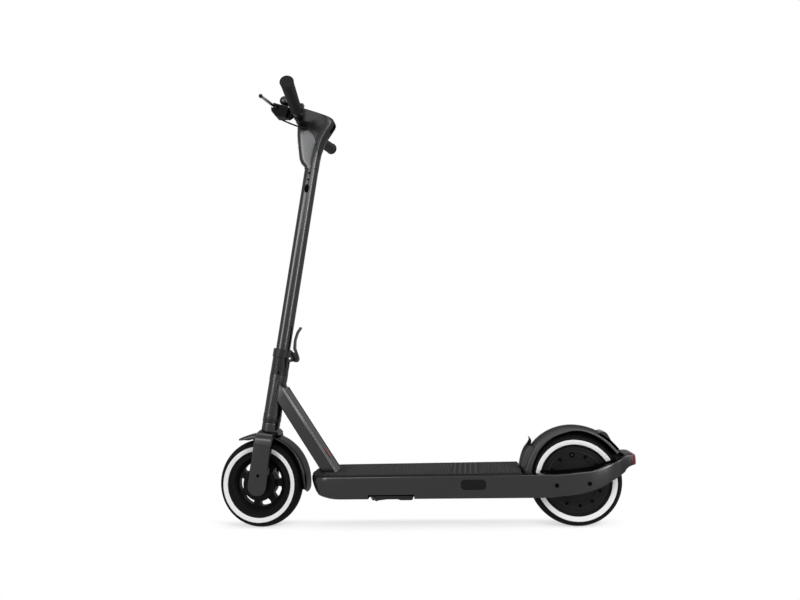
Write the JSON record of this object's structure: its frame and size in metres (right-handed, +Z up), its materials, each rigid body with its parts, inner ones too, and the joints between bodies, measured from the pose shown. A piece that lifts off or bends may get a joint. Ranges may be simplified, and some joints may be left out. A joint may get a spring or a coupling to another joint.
{
  "type": "electric scooter",
  "caption": "Folding electric kick scooter in dark grey and black, with white sidewall rings, a rear hub motor, a deck mat and a swept handlebar.",
  "frame": {"origin": "middle of the footprint, on the ground under the tyres", "axes": "+Z up, -X the way it rides, -Y the rider's left"},
  "size_m": [1.177, 0.4878, 1.2667],
  "materials": {
    "grey_paint": "satin dark grey metallic",
    "black_paint": "satin black",
    "black_plastic": "satin black",
    "rubber": "matt black",
    "tyre_rubber": "matt black",
    "steel": "satin",
    "dark_metal": "gloss black",
    "aluminium": "cast",
    "winding": "copper windings on iron",
    "smoked_lens": "smoked, gloss",
    "red_rubber": "matt dark red",
    "red_lens": "clear red, gloss",
    "clear_lens": "clear, gloss",
    "display_glass": "black, gloss",
    "battery_wrap": "blue shrink wrap"
  },
  "bodies": {
    "chassis": {"frame": "grey_paint", "headset_cup": "black_plastic", "bearing_lower": "steel", "bearing_upper": "steel", "deck_tray": "grey_paint", "deck_cover": "black_plastic", "deck_mat": "rubber", "battery_pack": "battery_wrap", "controller": "aluminium", "reflector_left": "smoked_lens", "reflector_right": "smoked_lens", "side_cover_left": "grey_paint", "side_cover_right": "grey_paint", "dropout_left": "steel", "dropout_right": "steel", "rear_axle": "steel", "motor_core": "winding", "rear_fender": "grey_paint", "fender_hook": "black_plastic", "plate_holder": "grey_paint", "tail_housing": "grey_paint", "tail_lens": "red_lens", "kickstand_bracket": "black_plastic"},
    "charge_flap_body": {"charge_flap": "red_rubber"},
    "kickstand_body": {"kickstand": "black_plastic"},
    "rear_wheel": {"rear_tyre": "tyre_rubber", "motor_shell": "black_plastic", "motor_cover": "black_plastic"},
    "steering": {"fork": "grey_paint", "fork_cover_left": "grey_paint", "fork_cover_right": "grey_paint", "front_fender": "grey_paint", "front_axle": "steel", "brake_plate": "aluminium", "fold_base": "black_plastic", "fold_pin": "steel"},
    "front_wheel": {"front_tyre": "tyre_rubber", "front_rim": "black_plastic"},
    "stem": {"fold_block": "black_plastic", "stem_tube": "grey_paint", "head_casting": "grey_paint", "display_housing": "black_paint", "display_glass": "display_glass", "headlight_lens": "clear_lens", "handlebar": "black_plastic", "grip_left": "rubber", "grip_right": "rubber", "brake_perch": "black_plastic", "bell_dome": "dark_metal", "brake_cable": "rubber", "throttle_housing": "black_plastic", "switch_pod": "black_plastic"},
    "fold_lever_body": {"fold_lever": "black_plastic"},
    "latch_bolt_body": {"latch_bolt": "steel"},
    "brake_lever_body": {"brake_lever": "black_plastic"},
    "bell_striker_body": {"bell_striker": "black_plastic"},
    "throttle_body": {"throttle_paddle": "rubber"},
    "switch_button_body": {"switch_button": "rubber"},
    "power_button_body": {"power_button": "rubber"}
  },
  "joints": [
    {"name": "steering_turn", "type": "hinge", "parent": "chassis", "child": "steering", "pos_m": [-0.41824, 0, 0.37087], "axis": [0.181, 0, 0.9835], "range_deg": [-60, 60]},
    {"name": "front_wheel_spin", "type": "hinge", "parent": "steering", "child": "front_wheel", "pos_m": [-0.4635, 0, 0.125], "axis": [0, 1, 0], "continuous": true},
    {"name": "rear_wheel_spin", "type": "hinge", "parent": "chassis", "child": "rear_wheel", "pos_m": [0.4325, 0, 0.125], "axis": [0, 1, 0], "continuous": true},
    {"name": "stem_fold", "type": "hinge", "parent": "steering", "child": "stem", "pos_m": [-0.36665, 0, 0.48542], "axis": [0, 1, 0], "range_deg": [0, 98]},
    {"name": "fold_lever_turn", "type": "hinge", "parent": "stem", "child": "fold_lever_body", "pos_m": [-0.36665, 0, 0.48542], "axis": [0, 1, 0], "range_deg": [0, 20], "stiffness_Nm_per_rad": 0.5, "springref_deg": -5.73},
    {"name": "latch_bolt_lift", "type": "slide", "parent": "stem", "child": "latch_bolt_body", "axis": [0.181, 0, 0.9835], "range_m": [0, 0.0124]},
    {"name": "kickstand_swing", "type": "hinge", "parent": "chassis", "child": "kickstand_body", "pos_m": [-0.1105, -0.0735, 0.097], "axis": [0, 0.8716, -0.4903], "range_deg": [0, 113]},
    {"name": "brake_lever_pull", "type": "hinge", "parent": "stem", "child": "brake_lever_body", "pos_m": [-0.37004, -0.0925, 1.23297], "axis": [0.3816, 0, 0.9243], "range_deg": [0, 24], "stiffness_Nm_per_rad": 1.2, "springref_deg": -6.88},
    {"name": "throttle_turn", "type": "hinge", "parent": "stem", "child": "throttle_body", "pos_m": [-0.30398, 0.09183, 1.20975], "axis": [0.127, 0.9852, 0.1152], "range_deg": [0, 25], "stiffness_Nm_per_rad": 0.3, "springref_deg": -5.73},
    {"name": "bell_striker_flick", "type": "hinge", "parent": "stem", "child": "bell_striker_body", "pos_m": [-0.32736, -0.081, 1.22628], "axis": [0.3816, 0, 0.9243], "range_deg": [0, 12], "stiffness_Nm_per_rad": 0.05, "springref_deg": -5.73},
    {"name": "switch_button_press", "type": "slide", "parent": "stem", "child": "switch_button_body", "axis": [-0.9835, 0, 0.181], "range_m": [0, 0.0012], "stiffness_N_per_m": 400, "springref_m": -0.001},
    {"name": "power_button_press", "type": "slide", "parent": "stem", "child": "power_button_body", "axis": [-0.3909, 0, -0.9204], "range_m": [0, 0.001], "stiffness_N_per_m": 400, "springref_m": -0.001},
    {"name": "charge_flap_open", "type": "hinge", "parent": "chassis", "child": "charge_flap_body", "pos_m": [-0.26818, 0, 0.21907], "axis": [0, -1, 0], "range_deg": [0, 100]}
  ],
  "couplings": [
    {"joint": "latch_bolt_lift", "follows": "fold_lever_turn", "m_per_rad": 0.03495}
  ]
}
